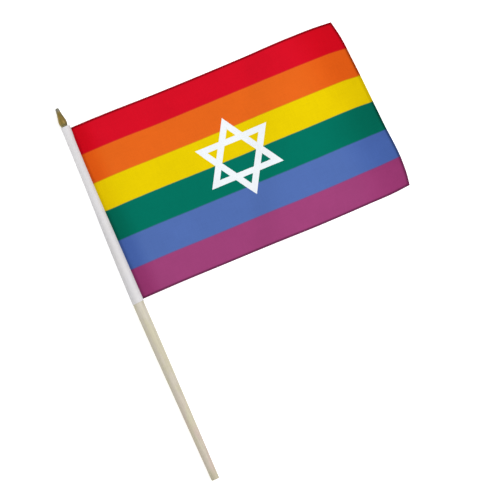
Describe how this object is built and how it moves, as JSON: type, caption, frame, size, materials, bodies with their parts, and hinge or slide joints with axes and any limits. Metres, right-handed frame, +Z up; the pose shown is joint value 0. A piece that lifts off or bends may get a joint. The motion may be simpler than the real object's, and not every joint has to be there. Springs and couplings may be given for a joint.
{
  "type": "pride flag on a wooden stick",
  "caption": "Printed cloth hand flag with rainbow stripes and a white star outline, its white sleeve wrapped round a bare wooden stick with a gold spear tip.",
  "frame": {"origin": "on the surface the flag lies on, under the middle of its bounding box", "axes": "+Y along the stick towards the gold tip, +X from the stick towards the fly edge, +Z up, out of the printed face"},
  "size_m": [0.3358, 0.4434, 0.0151],
  "materials": {
    "stick_wood": "sanded pale wood",
    "finial_gold": "gold coated plastic",
    "sleeve_cloth": "plain white polyester weave",
    "printed_cloth": "thin polyester weave, printed through in six stripes, of which this is the first colour"
  },
  "bodies": {
    "root": {"stick": "stick_wood", "finial": "finial_gold", "pole_sleeve": "sleeve_cloth", "flag_panel": "printed_cloth"}
  },
  "joints": []
}
